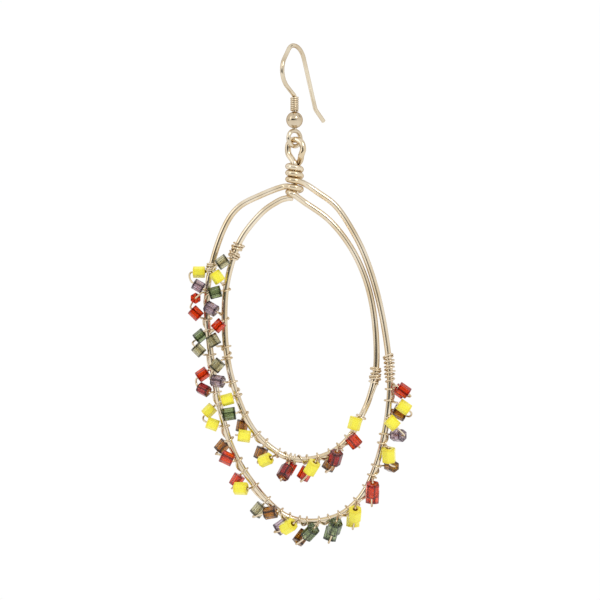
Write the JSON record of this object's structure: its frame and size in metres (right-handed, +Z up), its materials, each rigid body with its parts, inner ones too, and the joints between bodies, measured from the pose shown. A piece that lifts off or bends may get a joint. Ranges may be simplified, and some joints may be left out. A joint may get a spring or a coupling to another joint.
{
  "type": "dangle earring",
  "caption": "Dangle earring: fish-hook ear wire with a coil and ball, carrying a wire teardrop of two nested oval hoops whose lower halves are bound with fine wire and glass beads.",
  "frame": {"origin": "underside of the ear wire's bend, where the ear lobe carries the earring", "axes": "+Z up, along the hanging earring; the hoops lie in the XZ plane and their front faces -Y"},
  "size_m": [0.0406, 0.0127, 0.0909],
  "materials": {
    "ear_hook": "polished champagne-gold plated wire",
    "hook_coil": "fine polished champagne-gold wire",
    "hook_ball": "polished champagne-gold ball",
    "hanger_eye": "polished champagne-gold plated wire",
    "outer_hoop": "polished champagne-gold plated wire",
    "inner_hoop": "polished champagne-gold plated wire",
    "outer_binding": "fine polished champagne-gold wire",
    "inner_binding": "fine polished champagne-gold wire",
    "yellow_beads": "opaque lemon glass, satin",
    "red_beads": "clear orange-red glass, glossy",
    "garnet_beads": "clear dark red glass, glossy",
    "amber_beads": "dark brown glass with an orange heart, glossy",
    "green_beads": "clear green glass, glossy",
    "olive_beads": "smoky grey-green glass, glossy",
    "mauve_beads": "pale mauve glass, glossy"
  },
  "bodies": {
    "hook": {"ear_hook": "ear_hook", "hook_coil": "hook_coil", "hook_ball": "hook_ball"},
    "drop": {"hanger_eye": "hanger_eye", "outer_hoop": "outer_hoop", "inner_hoop": "inner_hoop", "outer_binding": "outer_binding", "inner_binding": "inner_binding", "yellow_beads": "yellow_beads", "red_beads": "red_beads", "garnet_beads": "garnet_beads", "amber_beads": "amber_beads", "green_beads": "green_beads", "olive_beads": "olive_beads", "mauve_beads": "mauve_beads"}
  },
  "joints": [
    {"name": "drop_swing", "type": "hinge", "parent": "hook", "child": "drop", "pos_m": [0, 0, -0.01772], "axis": [0.766, 0.6428, 0], "range_deg": [-50, 50]}
  ]
}
